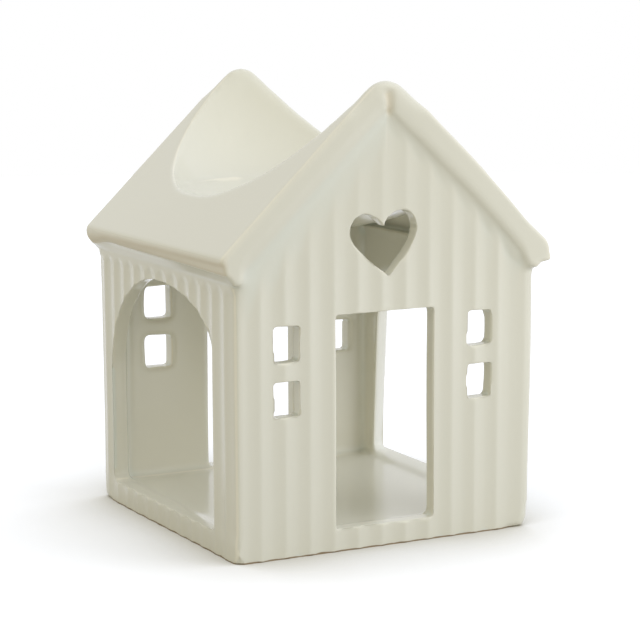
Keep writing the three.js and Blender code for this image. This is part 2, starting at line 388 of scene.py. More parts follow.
def bowl_body(context, growth):
    """The bowl's round body with its shallow bottom, grown by a wall thickness."""
    roof = context.scene.burner_roof
    floor_radius = roof.floor_radius + growth
    centre = apex_over(context) - roof.bowl_drop
    floor_centre = roof.bowl_floor + roof.floor_radius
    bm = bmesh.new()
    bmesh.ops.create_uvsphere(bm, u_segments=128, v_segments=96, radius=roof.bowl_radius + growth)
    for vert in bm.verts:
        out = vert.co.xy.length
        bottom = floor_centre - math.sqrt(floor_radius ** 2 - out ** 2)
        vert.co.z = max(vert.co.z + centre, bottom)
    bmesh.ops.translate(bm, verts=bm.verts, vec=(0.0, roof.bowl_offset, 0.0))
    return bm


def scoop_bowl(context, clay):
    """Takes the round hollow of the wax bowl out of a piece of clay."""
    hollow = clay_piece(context, "hollow", bowl_body(context, 0.0))
    scoop = clay.modifiers.new("scoop", "BOOLEAN")
    scoop.operation = "DIFFERENCE"
    scoop.solver = "EXACT"
    scoop.object = hollow
    apply_modifiers(context, clay)
    bpy.data.meshes.remove(hollow.data)


def part_off(bm, point, outward):
    """Cuts away what lies beyond a plane and closes the cut."""
    everything = bm.verts[:] + bm.edges[:] + bm.faces[:]
    bmesh.ops.bisect_plane(
        bm,
        geom=everything,
        dist=CUT_TOLERANCE,
        plane_co=point,
        plane_no=outward,
        clear_outer=True,
    )
    rim = [e for e in bm.edges if e.is_boundary]
    bmesh.ops.holes_fill(bm, edges=rim, sides=0)


class BURNER_OT_base_slab(Operator):
    """The floor between the walls"""

    bl_idname = "burner.base_slab"
    bl_label = "Base slab"

    def execute(self, context):
        lap = context.scene.burner_body.lap
        across = HALF_WIDTH - lap
        deep = HALF_DEPTH - WALL + lap
        bm = bmesh.new()
        bmesh.ops.create_cube(bm, size=1.0)
        bmesh.ops.translate(bm, verts=bm.verts, vec=(0.0, 0.0, 0.5))
        bmesh.ops.scale(bm, verts=bm.verts, vec=(2 * across, 2 * deep, BASE_TOP))
        clay_piece(context, "base_slab", bm)
        return {"FINISHED"}


def heart(bm, openings):
    """The heart over the door, two curves to each side, cut a little askew."""
    tip = openings.heart_tip
    top = tip + openings.heart_height
    notch = top - openings.heart_notch
    widest = top - openings.heart_widest
    half = openings.heart_width / 2
    # Handles at this height let the lobe's curve just reach the top
    lobe = (8 * top - notch - widest) / 6
    flank = [
        (0, tip),
        (openings.heart_point_half, tip + openings.heart_point),
        (half, widest - openings.heart_shoulder),
        (half, widest),
    ]
    crown = [(half, widest), (half, lobe), (openings.heart_notch_half, lobe), (0, notch)]
    points = []
    for curve in (flank, crown):
        knots = [Vector((x, z)) for x, z in curve]
        points += [tuple(p) for p in interpolate_bezier(*knots, CURVE_STEPS)[:-1]]
    mirrored = [(-x, z) for x, z in reversed(points[1:])]
    middle = tip + openings.heart_height / 2
    skewed = [
        (x - openings.heart_skew * (z - middle), z + openings.heart_tilt * x)
        for x, z in points + [(0, notch)] + mirrored
    ]
    outline(bm, skewed)


def stray_from_line(bm, stray):
    """Lets the cut openings stray a little from their lines, as a hand-held knife does."""
    wave_across = 11 * MM
    wave_up = 13 * MM
    across_share = 0.4
    up_share = 0.3
    offset = 1.0
    bmesh.ops.subdivide_edges(bm, edges=bm.edges[:], cuts=3)
    for vert in bm.verts:
        x = vert.co.x / wave_across
        z = vert.co.z / wave_up
        vert.co.x += stray * math.sin(2 * math.pi * (z + across_share * x))
        vert.co.z += stray * math.sin(2 * math.pi * (x - up_share * z) + offset)


def gabled_wall(context, name, turn, corners, panes, trim):
    """A gabled wall with its door, window panes and heart."""
    pane_centre, pane_width = panes
    body = context.scene.burner_body
    openings = context.scene.burner_openings
    apex = apex_under(context) + body.lap
    shoulder = body.wall_height + body.lap
    gable = [
        (-HALF_WIDTH, 0.0),
        (HALF_WIDTH, 0.0),
        (HALF_WIDTH, shoulder),
        (0.0, apex),
        (-HALF_WIDTH, shoulder),
    ]
    bm = bmesh.new()
    door = openings.door_width / 2
    rectangles = [(-door, door - trim, openings.sill, openings.door_head)]
    lower_head = openings.window_head - openings.pane_height - openings.pane_gap
    for side in (-1, 1):
        left = side * pane_centre - pane_width / 2
        for head in (openings.window_head, lower_head):
            rectangles.append((left, left + pane_width, head - openings.pane_height, head))
    for left, right, bottom, top in rectangles:
        outline(bm, [(left, bottom), (right, bottom), (right, top), (left, top)], openings.corner)
    heart(bm, openings)
    stray_from_line(bm, openings.stray)
    outline(bm, gable)
    thicken(bm, fill_between(bm), WALL)
    for end, rounding in zip((-HALF_WIDTH, HALF_WIDTH), corners):
        upright = edges_where(bm, lambda p: near(p.x, end) and near(p.y, 0.0))
        round_off(bm, upright, rounding, "EDGES")
    bmesh.ops.translate(bm, verts=bm.verts, vec=(0.0, -HALF_DEPTH, 0.0))
    bmesh.ops.rotate(bm, verts=bm.verts, matrix=Matrix.Rotation(turn, 3, "Z"))
    scoop_bowl(context, clay_piece(context, name, bm))


class BURNER_OT_gabled_walls(Operator):
    """The front and back walls"""

    bl_idname = "burner.gabled_walls"
    bl_label = "Gabled walls"

    def execute(self, context):
        body = context.scene.burner_body
        openings = context.scene.burner_openings
        corners = (body.front_left, body.front_right)
        panes = (openings.pane_centre, openings.pane_width)
        gabled_wall(context, "front_wall", 0.0, corners, panes, 0.0)
        corners = (body.back_right, body.back_left)
        panes = (openings.back_pane_centre, openings.back_pane_width)
        gabled_wall(context, "back_wall", math.pi, corners, panes, openings.back_trim)
        return {"FINISHED"}


def quarter_ellipse(centre, across, up, start, steps=16):
    """Points of a quarter ellipse from a turn of start to a quarter turn further."""
    turns = [start + math.pi / 2 * i / steps for i in range(steps + 1)]
    return [(centre[0] + across * math.cos(t), centre[1] + up * math.sin(t)) for t in turns]


def side_wall(context, name, turn, thickness, arch_back, back_rise, splay=0.0, slant=0.0):
    """A side wall with its wide arch, drawn with the house's back to the right."""
    body = context.scene.burner_body
    openings = context.scene.burner_openings
    end = HALF_DEPTH - WALL + body.lap / 2
    top = body.wall_height + body.lap
    front = -HALF_DEPTH + openings.arch_front
    back = HALF_DEPTH - arch_back
    crown = openings.arch_crown
    back_spring = (crown, openings.arch_head - back_rise)
    front_spring = (crown, openings.arch_head - openings.arch_front_rise)
    arch = quarter_ellipse(back_spring, back - crown, back_rise, 0.0)
    arch += quarter_ellipse(front_spring, crown - front, openings.arch_front_rise, math.pi / 2)[1:]
    bm = bmesh.new()
    outline(bm, [(-end, 0.0), (end, 0.0), (end, top), (-end, top)])
    outline(bm, [(front, openings.sill), (back + splay, openings.sill)] + arch)
    lower = [v for v in bm.verts if near(v.co.z, openings.sill)]
    round_off(bm, lower, openings.arch_corner)
    thicken(bm, fill_between(bm), thickness)
    for vert in bm.verts:
        in_arch = crown < vert.co.x and not near(vert.co.x, end)
        if in_arch and near(vert.co.y, thickness):
            vert.co.x -= slant * (vert.co.x - crown) / (back - crown)
    if turn < 0:
        bmesh.ops.scale(bm, verts=bm.verts, vec=(-1.0, 1.0, 1.0))
        bmesh.ops.reverse_faces(bm, faces=bm.faces)
    bmesh.ops.translate(bm, verts=bm.verts, vec=(0.0, -HALF_WIDTH, 0.0))
    bmesh.ops.rotate(bm, verts=bm.verts, matrix=Matrix.Rotation(turn, 3, "Z"))
    clay_piece(context, name, bm)


class BURNER_OT_side_walls(Operator):
    """The left and right walls"""

    bl_idname = "burner.side_walls"
    bl_label = "Side walls"

    def execute(self, context):
        body = context.scene.burner_body
        openings = context.scene.burner_openings
        side_wall(
            context,
            "left_wall",
            -math.pi / 2,
            body.left_wall,
            openings.arch_back,
            openings.arch_back_rise,
        )
        side_wall(
            context,
            "right_wall",
            math.pi / 2,
            body.right_wall,
            openings.right_arch_back,
            openings.right_back_rise,
            openings.right_splay,
            openings.right_slant,
        )
        return {"FINISHED"}


class BURNER_OT_roof_slopes(Operator):
    """Both roof slopes, with their rounded ridge, eaves and rakes"""

    bl_idname = "burner.roof_slopes"
    bl_label = "Roof slopes"

    def execute(self, context):
        roof = context.scene.burner_roof
        slope = math.tan(roof.pitch)
        over = apex_over(context)
        under = apex_under(context)
        inside = HALF_WIDTH - WALL / 2

        def lower_edge(nose, cove, bottom):
            foot = [(HALF_WIDTH, bottom), (inside, bottom), (inside, under - inside * slope)]
            return nose + cove + foot

        nose_x = EAVE + roof.nose_reach
        nose_z = over - nose_x * slope
        lip_x = HALF_WIDTH + roof.lip
        lip_z = roof.lip_bottom + roof.lip
        middle = ((nose_x + lip_x) / 2 - roof.hollow, (nose_z + lip_z) / 2 + roof.hollow)
        left = lower_edge([(nose_x, nose_z)], [middle, (lip_x, lip_z)], roof.lip_bottom)
        left = [(-x, z) for x, z in reversed(left)]
        eave = EAVE + roof.right_eave
        nose = [(eave, over - eave * slope), (eave, roof.right_nose_bottom)]
        cove = [(HALF_WIDTH + roof.cove_width, roof.cove_top)]
        right = lower_edge(nose, cove, roof.cove_bottom)
        bm = bmesh.new()
        outline(bm, [(0.0, over)] + right + [(0.0, under)] + left)
        ridge = [v for v in bm.verts if near(v.co.z, over)]
        round_off(bm, ridge, roof.ridge_radius * slope, segments=12)
        for side, rounding in ((-1, roof.nose_round), (1, roof.right_nose_round)):
            tip = [v for v in bm.verts if side * v.co.x > EAVE - TOLERANCE]
            round_off(bm, tip, rounding)
        straight = ROOF_HALF_DEPTH - roof.rake_round
        thicken(bm, bm.faces[:], 2 * straight)
        bmesh.ops.translate(bm, verts=bm.verts, vec=(0.0, -straight, 0.0))
        short = [v for v in bm.verts if v.co.x < -EAVE + roof.nose_round and v.co.y < 0.0]
        bmesh.ops.translate(bm, verts=short, vec=(roof.eave_cut, 0.0, roof.eave_cut * slope))
        ends = [f for f in bm.faces if near(abs(f.calc_center_median().y), straight)]
        round_ends(bm, ends, roof.rake_round)
        scoop_bowl(context, clay_piece(context, "roof", bm))
        return {"FINISHED"}


class BURNER_OT_wax_bowl(Operator):
    """The round wax bowl that hangs under the roof opening"""

    bl_idname = "burner.wax_bowl"
    bl_label = "Wax bowl"

    def execute(self, context):
        body = context.scene.burner_body
        roof = context.scene.burner_roof
        bm = bowl_body(context, roof.bowl_wall)
        apex = Vector((0.0, 0.0, apex_under(context) + body.lap))
        deep = HALF_DEPTH - WALL + body.lap
        for side in (-1, 1):
            part_off(bm, apex, roof_facing(context, side))
            part_off(bm, Vector((0.0, side * deep, 0.0)), Vector((0.0, side, 0.0)))
        scoop_bowl(context, clay_piece(context, "wax_bowl", bm))
        return {"FINISHED"}


# Luting and glazing

SMOOTH_FACTOR = 0.5
WEIGHT_STEPS = 20


def lute(context):
    """Joins all the clay into one body and softens its edges and corners."""
    glaze = context.scene.burner_glaze
    joined = bmesh.new()
    for clay in [o for o in context.scene.objects if o.name.startswith(CLAY)]:
        joined.from_mesh(clay.data)
        bpy.data.meshes.remove(clay.data)
    mesh = bpy.data.meshes.new(SKIN)
    joined.to_mesh(mesh)
    joined.free()
    skin = bpy.data.objects.new(SKIN, mesh)
    context.scene.collection.objects.link(skin)
    fuse = skin.modifiers.new("fuse", "REMESH")
    fuse.mode = "VOXEL"
    fuse.voxel_size = glaze.voxel
    fuse.use_smooth_shade = True
    smooth = skin.modifiers.new("soften", "SMOOTH")
    smooth.factor = SMOOTH_FACTOR
    smooth.iterations = glaze.softening
    apply_modifiers(context, skin)
    return skin


def coordinates(mesh):
    """Places of a mesh's vertices, one row each."""
    points = np.empty(len(mesh.vertices) * 3)
    mesh.vertices.foreach_get("co", points)
    return points.reshape(-1, 3)


def facing(mesh):
    """Outward directions at a mesh's vertices, one row each."""
    normals = np.empty(len(mesh.vertices) * 3)
    mesh.vertex_normals.foreach_get("vector", normals)
    return normals.reshape(-1, 3)


def ease(low, high, values):
    """Goes smoothly from 0 at low to 1 at high."""
    t = np.clip((values - low) / (high - low), 0.0, 1.0)
    return t * t * (3 - 2 * t)


def soften(context, skin, name, weights, rounds):
    """Smooths the skin further where the weights ask for it."""
    group = skin.vertex_groups.new(name=name)
    levels = np.round(weights * WEIGHT_STEPS).astype(int)
    for level in range(1, WEIGHT_STEPS + 1):
        group.add(np.flatnonzero(levels == level).tolist(), level / WEIGHT_STEPS, "REPLACE")
    smooth = skin.modifiers.new(name, "SMOOTH")
    smooth.factor = SMOOTH_FACTOR
    smooth.iterations = rounds
    smooth.vertex_group = group.name
    apply_modifiers(context, skin)


def below_roof(context, points):
    """How far points lie under the plane of the roof's underside."""
    pitch = context.scene.burner_roof.pitch
    under = apex_under(context) - np.abs(points[:, 0]) * math.tan(pitch)
    return (under - points[:, 2]) * math.cos(pitch)


def soften_room(context, skin):
    """Rounds the inside corners of the room and the inner edges of its openings."""
    openings = context.scene.burner_openings
    outer_skin = 1 * MM
    margin = 1.5 * MM
    reveal = WALL / 2
    beside_heart = (4.7 * MM, 1.7 * MM)
    below_heart = (4 * MM, 1 * MM)
    x, y, z = coordinates(skin.data).T
    inside = (
        ease(0.0, reveal, HALF_WIDTH - outer_skin - np.abs(x))
        * ease(0.0, margin, HALF_DEPTH - WALL + margin - np.abs(y))
        * ease(0.0, margin, context.scene.burner_body.wall_height - z)
    )
    heart_back = (
        ease(HALF_DEPTH - reveal, HALF_DEPTH - WALL + margin, np.abs(y))
        * ease(*beside_heart, np.abs(x) - openings.heart_width / 2)
        * ease(*below_heart, openings.heart_tip - z)
    )
    rounds = context.scene.burner_glaze.room_softening
    soften(context, skin, "room", np.maximum(inside, heart_back), rounds)


def soften_rakes(context, skin):
    """Runs the roof's front and back edges into the gabled walls, broadly on the left."""
    glaze = context.scene.burner_glaze
    in_roof = (-4 * MM, -2 * MM)
    down_wall = (11 * MM, 6 * MM)
    behind_face = (4 * MM, 2 * MM)
    in_from_side = (0.0, 5 * MM)
    across_ridge = (1 * MM, -1 * MM)
    points = coordinates(skin.data)
    x, y, _ = points.T
    below = below_roof(context, points)
    hollow = (
        ease(*in_roof, below)
        * ease(*down_wall, below)
        * ease(*behind_face, HALF_DEPTH - np.abs(y))
        * ease(*in_from_side, HALF_WIDTH - np.abs(x))
    )
    on_left = ease(*across_ridge, x)
    soften(context, skin, "left_rakes", hollow * on_left, glaze.left_rake_softening)
    soften(context, skin, "right_rakes", hollow * (1 - on_left), glaze.right_rake_softening)


def soften_rim(context, skin):
    """Rounds the rim of the wax bowl on the roof, and the peaks that it leaves."""
    roof = context.scene.burner_roof
    glaze = context.scene.burner_glaze
    round_rim = (5 * MM, 2 * MM)
    right_half = (6 * MM, 14 * MM)
    round_peak = (8 * MM, 4 * MM)
    beside_peak = (14 * MM, 8 * MM)
    points = coordinates(skin.data)
    across = points[:, 0]
    centre = np.array((0.0, roof.bowl_offset, apex_over(context) - roof.bowl_drop))
    from_bowl = np.abs(np.linalg.norm(points - centre, axis=1) - roof.bowl_radius)
    from_top = np.abs(below_roof(context, points) + roof.thickness)
    rim = ease(*round_rim, np.hypot(from_bowl, from_top))
    soften(context, skin, "rim", rim, glaze.rim_softening)
    soften(context, skin, "right_rim", rim * ease(*right_half, across), glaze.right_rim_softening)
    peaks = ease(*round_peak, from_bowl) * ease(*round_peak, from_top)
    soften(context, skin, "peaks", peaks * ease(*beside_peak, np.abs(across)), glaze.peak_softening)


def soften_foot(context, skin):
    """Wears the foot round at every corner but the front left one."""
    points = coordinates(skin.data)
    reach = 9 * MM
    low = ease(reach, reach / 2, points[:, 2])
    worn = np.zeros(len(points))
    for x, y in ((HALF_WIDTH, -HALF_DEPTH), (HALF_WIDTH, HALF_DEPTH), (-HALF_WIDTH, HALF_DEPTH)):
        away = np.hypot(points[:, 0] - x, points[:, 1] - y)
        worn = np.maximum(worn, ease(reach, reach / 2, away) * low)
    soften(context, skin, "foot", worn, context.scene.burner_glaze.foot_softening)


def flute(body, along):
    """Depth of the flutes across a wall, and how far off the middle of its flute a place is."""
    share = np.mod(along / body.flute_pitch, 1.0)
    off_middle = np.abs(2 * share - 1)
    from_arris = (1 - off_middle) / 2
    rounded = np.sqrt(from_arris ** 2 + body.arris ** 2) - body.arris
    return 4 * rounded * (1 - rounded), off_middle


def press_flutes(context, skin):
    """Presses the shallow upright flutes into the outer faces of the walls."""
    body = context.scene.burner_body
    under_left_rake = (3 * MM, 12 * MM)
    under_right_rake = (1 * MM, 4 * MM)
    up_gable = (82 * MM, 105 * MM)
    down_foot = (10 * MM, 5 * MM)
    outer_skin = (-2 * MM, -1 * MM)
    facing_out = (0.35, 0.8)
    round_top = (0.0, 3 * MM)
    points = coordinates(skin.data)
    normals = facing(skin.data)
    height = points[:, 2]
    below = below_roof(context, points)
    on_left = points[:, 0] < 0
    under_rake = np.where(on_left, ease(*under_left_rake, below), ease(*under_right_rake, below))
    in_gable = under_rake * (1 - body.gable_fade * ease(*up_gable, height))
    above_foot = 1 - body.foot_fade * ease(*down_foot, height)
    moved = np.zeros_like(points)
    for turn, start, distance, first in (
        (0.0, -HALF_WIDTH, HALF_DEPTH, body.front_arris),
        (math.pi, -HALF_WIDTH, HALF_DEPTH, body.front_arris),
        (-math.pi / 2, -HALF_DEPTH, HALF_WIDTH, body.side_arris),
        (math.pi / 2, HALF_DEPTH, HALF_WIDTH, -body.side_arris),
    ):
        across = np.array((math.cos(turn), math.sin(turn), 0.0))
        outward = np.array((math.sin(turn), -math.cos(turn), 0.0))
        depth, off_middle = flute(body, points @ across - start - first)
        outer = ease(*outer_skin, points @ outward - distance) * ease(*facing_out, normals @ outward)
        if distance == HALF_DEPTH:
            reach = in_gable
        else:
            top = body.flute_top - body.flute_crown * off_middle ** 2
            reach = ease(*round_top, top - height) * above_foot
        moved -= outward * (body.flute_depth * depth * outer * reach)[:, None]
    skin.data.vertices.foreach_set("co", (points + moved).ravel())
    skin.data.update()


def bump(values, middle, width):
    """1 at the middle, fading to both sides."""
    return np.exp(-(((values - middle) / width) ** 2))


def pinch_mark(context, points, normals):
    """1 in the mark that a fingertip left under the front peak, fading to its sides."""
    mark_top = (5 * MM, 8 * MM)
    mark_foot = (15 * MM, 12 * MM)
    tapering = (6 * MM, 14 * MM)
    widths = (1.7 * MM, 0.8 * MM)
    upright_at = 7 * MM
    lean = 0.12
    facing_front = (0.3, 0.7)
    behind_face = (4 * MM, 0.0)
    x, y, z = points.T
    down = apex_over(context) - z
    mark = bump(x, lean * (down - upright_at), np.interp(down, tapering, widths))
    mark = mark * ease(*mark_top, down) * ease(*mark_foot, down)
    return mark * ease(*facing_front, -normals[:, 1]) * ease(*behind_face, HALF_DEPTH + y)


def swells(points):
    """Gentle waves over the hand-pressed clay, between -2 and 2."""
    wave = 17 * MM
    x, y, z = (points / wave).T
    crossing = np.sin(x + 1.7 * np.sin(0.8 * z)) * np.sin(y + 1.3 * np.sin(0.9 * x))
    return crossing + np.sin(1.3 * z + y)


def bowed_rake(context, points):
    """How far the right front rake bows and lifts off its straight line."""
    roof = context.scene.burner_roof
    up_at = (30 * MM, 10 * MM)
    down_at = (49 * MM, 5 * MM)
    past_ridge = (2 * MM, 14 * MM)
    up_roof = (0.0, 8 * MM)
    x, y, z = points.T
    bowed = roof.bow * (bump(x, *up_at) - bump(x, *down_at))
    bowed = bowed + roof.right_lift * ease(*past_ridge, x)
    above_walls = ease(*up_roof, z - context.scene.burner_body.wall_height)
    return bowed * ease(0.0, HALF_DEPTH, -y) * above_walls


def hanging_nose(context, points):
    """How far the left eave's nose hangs down towards the back."""
    towards_back = (16 * MM, 0.0)
    nose_edge = 2 * MM
    up_nose = (6.6 * MM, 3.6 * MM)
    x, y, z = points.T
    hanging = ease(*towards_back, HALF_DEPTH - y) * ease(HALF_WIDTH, EAVE - nose_edge, -x)
    hanging = hanging * ease(*up_nose, z - context.scene.burner_body.wall_height)
    return context.scene.burner_roof.nose_droop * hanging


def bulging_corners(context, points):
    """How far the right corners and the back left one stand out sideways."""
    body = context.scene.burner_body
    under_eave = (-3 * MM, 2 * MM)
    beside_corner = (10 * MM, 0.0)
    up_wall = (0.0, 70 * MM)
    up_foot = (0.0, 4 * MM)
    low_share = 0.7
    high_share = 1.1
    foot_share = 0.4
    x, y, z = points.T
    right = ease(*beside_corner, HALF_WIDTH - x)
    right = right * (low_share + (high_share - low_share) * ease(*up_wall, z))
    right = right * (foot_share + (1 - foot_share) * ease(*up_foot, z))
    back_left = ease(*beside_corner, HALF_WIDTH + x) * ease(-HALF_DEPTH, HALF_DEPTH, y)
    return body.bulge * ease(*under_eave, body.wall_height - z) * (right - back_left)


def shape_by_hand(context, skin):
    """Gives the clay its swells, pinch mark, bowed rake, hanging nose and bulging corners."""
    normals = facing(skin.data)
    points = coordinates(skin.data)
    swelling = context.scene.burner_body.unevenness / 2 * swells(points)
    points = points + normals * swelling[:, None]
    points[:, 1] += context.scene.burner_roof.pinch * pinch_mark(context, points, normals)
    points[:, 2] += bowed_rake(context, points)
    points[:, 2] -= hanging_nose(context, points)
    points[:, 0] += bulging_corners(context, points)
    points[:, 2] = np.maximum(points[:, 2], 0.0)
    skin.data.vertices.foreach_set("co", points.ravel())
    skin.data.update()


def hollows(context, mesh, points, normals):
    """How hollow the skin is round each vertex: below 0 on edges, above 0 in corners."""
    spreading = 6
    full_bend = 4 * MM
    ends = np.empty(len(mesh.edges) * 2, dtype=int)
    mesh.edges.foreach_get("vertices", ends)
    first, second = ends.reshape(-1, 2).T
    total = len(points)
    degree = np.bincount(first, minlength=total) + np.bincount(second, minlength=total)

    def neighbour_mean(values):
        gathered = np.bincount(first, values[second], total)
        gathered += np.bincount(second, values[first], total)
        return gathered / degree

    mean = np.stack([neighbour_mean(points[:, axis]) for axis in range(3)], axis=1)
    bend = np.einsum("ij,ij->i", mean - points, normals) / context.scene.burner_glaze.voxel ** 2
    for _ in range(spreading):
        bend = neighbour_mean(bend)
    return bend * full_bend


def gathered_glaze(context, points):
    """Glaze that gathered on the gabled walls under the roof."""
    glaze = context.scene.burner_glaze
    in_roof = (-4 * MM, 1 * MM)
    down_wall = (14 * MM, 5 * MM)
    behind_face = (2 * MM, 1 * MM)
    x, y, _ = points.T
    below = below_roof(context, points)
    band = ease(*in_roof, below) * ease(*down_wall, below)
    band = band * ease(*behind_face, HALF_DEPTH - np.abs(y))
    return band * np.where(x < 0, glaze.gathered_left, glaze.gathered_right)


def painted_rake_highlight(context, points, normals):
    """1 along the rounded edge of the left front rake, where a paler line is painted as a highlight.
    """
    half_round = (0.5, 0.14)
    on_slope = (0.2, 0.6)
    off_peak = (2 * MM, 8 * MM)
    edge = bump(-normals[:, 1], *half_round)
    edge = edge * ease(*on_slope, normals @ np.array(roof_facing(context, -1)))
    return edge * ease(*off_peak, -points[:, 0])


def painted_shade_mask(context, points, normals):
    """1 where shade is painted: under the left eave's nose and, less, in the pinch mark."""
    under_nose = (2.6 * MM, 1.8 * MM)
    facing_down = (0.6, -0.7)
    in_pinch = 0.8
    x, y, _ = points.T
    towards_front = 0.5 - y / (2 * ROOF_HALF_DEPTH)
    nose = EAVE - context.scene.burner_roof.eave_cut * towards_front
    painted_shade = ease(*under_nose, nose + x) * ease(*facing_down, normals[:, 2])
    return np.maximum(painted_shade, in_pinch * pinch_mark(context, points, normals))


def record_glaze(context, skin):
    """Stores where the glaze is thinned and paler over edges (-1, partly a painted highlight),
    pooled in hollows (1), or carries painted shade.
    """
    mesh = skin.data
    points = coordinates(mesh)
    normals = facing(mesh)
    highlighting = context.scene.burner_glaze.rake_highlight
    depth = hollows(context, mesh, points, normals) + gathered_glaze(context, points)
    # A painted highlight: the left front rake's edge takes the paler edge colour.
    depth = np.clip(depth - highlighting * painted_rake_highlight(context, points, normals), -1.0, 1.0)
    # Painted shade under the left eave's nose and in the pinch mark.
    painted_shade = painted_shade_mask(context, points, normals)
    on_corners(mesh, GLAZE_DEPTH, "FLOAT", "value", depth * (1 - painted_shade))
    on_corners(mesh, GLAZE_PAINTED_SHADE, "FLOAT", "value", painted_shade)
    on_corners(mesh, SHADING, "FLOAT_VECTOR", "vector", normals)


def on_corners(mesh, name, kind, field, values):
    """Stores a value of each vertex on all its face corners, where a cut keeps it."""
    corners = np.empty(len(mesh.loops), dtype=np.int32)
    mesh.loops.foreach_get("vertex_index", corners)
    layer = mesh.attributes.new(name, kind, "CORNER")
    layer.data.foreach_set(field, values[corners].astype(np.float32).ravel())


def seams(context, name):
    """The planes along which a piece is luted to its neighbours, as points and facings."""
    inset = 1 * MM
    above_base = 30 * MM
    wall_x = HALF_WIDTH - WALL - inset
    wall_y = HALF_DEPTH - WALL - inset
    drop = inset / math.cos(context.scene.burner_roof.pitch)
    apex = Vector((0.0, 0.0, apex_under(context) - drop))
    middle = Vector((0.0, 0.0, BASE_TOP + above_base))
    left = Vector((-1, 0, 0))
    front = Vector((0, -1, 0))
    up = Vector((0, 0, 1))
    under_left = (apex, roof_facing(context, -1))
    under_right = (apex, roof_facing(context, 1))
    in_left = (left * wall_x, left)
    in_right = (-left * wall_x, -left)
    in_front = (front * wall_y, front)
    in_back = (-front * wall_y, -front)
    room = [in_left, in_right, in_front, in_back]
    past_left, past_right, past_front, past_back = [(point, -out) for point, out in room]
    return {
        "base_slab": [(middle, up)] + room,
        "front_wall": [under_left, under_right, past_front],
        "back_wall": [under_left, under_right, past_back],
        "left_wall": [under_left, past_left, in_front, in_back],
        "right_wall": [under_right, past_right, in_front, in_back],
        "left_roof_slope": [(apex, -under_left[1]), (apex, -left)],
        "right_roof_slope": [(apex, -under_right[1]), (apex, left)],
        "wax_bowl": [under_left, under_right, (middle, -up)] + room,
    }[name]


def seam_cell(context, name):
    """A convex block around one piece, bounded by the planes that it is luted on."""
    bm = bmesh.new()
    bmesh.ops.create_cube(bm, size=4 * max(CAD_BOX[1]))
    for point, outward in seams(context, name):
        part_off(bm, point, outward)
    bmesh.ops.recalc_face_normals(bm, faces=bm.faces)
    cell = clay_piece(context, "cell", bm)
    mark = cell.data.attributes.new(SEAM, "INT", "FACE")
    mark.data.foreach_set("value", np.ones(len(cell.data.polygons), dtype=np.int32))
    return cell


def shade_as_whole(mesh):
    """Shades a piece as the whole skin was shaded, with its seams flat."""
    at_seam = np.empty(len(mesh.polygons), dtype=np.int32)
    mesh.attributes[SEAM].data.foreach_get("value", at_seam)
    corners = np.empty(len(mesh.polygons), dtype=np.int32)
    mesh.polygons.foreach_get("loop_total", corners)
    flat = np.empty(len(mesh.polygons) * 3)
    mesh.polygon_normals.foreach_get("vector", flat)
    flat = np.repeat(flat.reshape(-1, 3), corners, axis=0)
    smooth = np.empty(len(mesh.loops) * 3)
    mesh.attributes[SHADING].data.foreach_get("vector", smooth)
    on_seam = np.repeat(at_seam, corners)[:, None] == 1
    normals = np.where(on_seam, flat, smooth.reshape(-1, 3))
    mesh.polygons.foreach_set("use_smooth", at_seam == 0)
    mesh.attributes.remove(mesh.attributes[SEAM])
    mesh.attributes.remove(mesh.attributes[SHADING])
    mesh.normals_split_custom_set(normals.tolist())


def part_piece(context, skin, name, material):
    """Parts one named piece from the glazed skin, closed at its seams."""
    cell = seam_cell(context, name)
    piece = bpy.data.objects.new(name + "_glazed", skin.data.copy())
    context.scene.collection.objects.link(piece)
    part = piece.modifiers.new("part", "BOOLEAN")
    part.operation = "INTERSECT"
    part.solver = "MANIFOLD"
    part.object = cell
    apply_modifiers(context, piece)
    bpy.data.meshes.remove(cell.data)
    if not piece.data.polygons:
        raise RuntimeError(f"nothing of the skin belongs to {name}")
    piece.data.name = piece.name
    shade_as_whole(piece.data)
    piece.data.materials.clear()
    piece.data.materials.append(material)
    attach(piece, BODY)
    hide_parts(name)


class BURNER_OT_glaze(Operator):
    """Lutes the clay together, softens it under its glaze and parts the pieces again"""

    bl_idname = "burner.glaze"
    bl_label = "Lute and glaze"

    def execute(self, context):
        skin = lute(context)
        soften_room(context, skin)
        soften_rakes(context, skin)
        soften_rim(context, skin)
        soften_foot(context, skin)
        press_flutes(context, skin)
        shape_by_hand(context, skin)
        record_glaze(context, skin)
        material = cream_glaze(context.scene.burner_glaze)
        for name in PIECES:
            part_piece(context, skin, name, material)
        bpy.data.meshes.remove(skin.data)
        return {"FINISHED"}


# Glaze

CLOUD_SCALE = 45.0
CLOUD_SHARE = 0.25
WIPING_SCALE = 260.0
WIPED_SHARES = (1.3, 0.9)
RIPPLE_SCALE = 420.0
RIPPLE_STRENGTH = 0.06
RIPPLE_DEPTH = 0.2 * MM
# Depths over which edges take the paler edge colour: thinned glaze and a painted highlight.
THIN_AND_HIGHLIGHT_DEPTHS = (-0.1, -0.9)
POOLED_DEPTHS = (0.08, 0.6)
GLASS = 1.5
BARE_DULLNESS = 0.6
# Extra roughness where shade is painted, which dims the reflection there.
PAINTED_SHADE_DULLNESS = 0.45

# Sockets of the Mix node that hold colours
MIX_FACTOR = 0
MIX_FIRST = 6
MIX_SECOND = 7
MIX_RESULT = 2


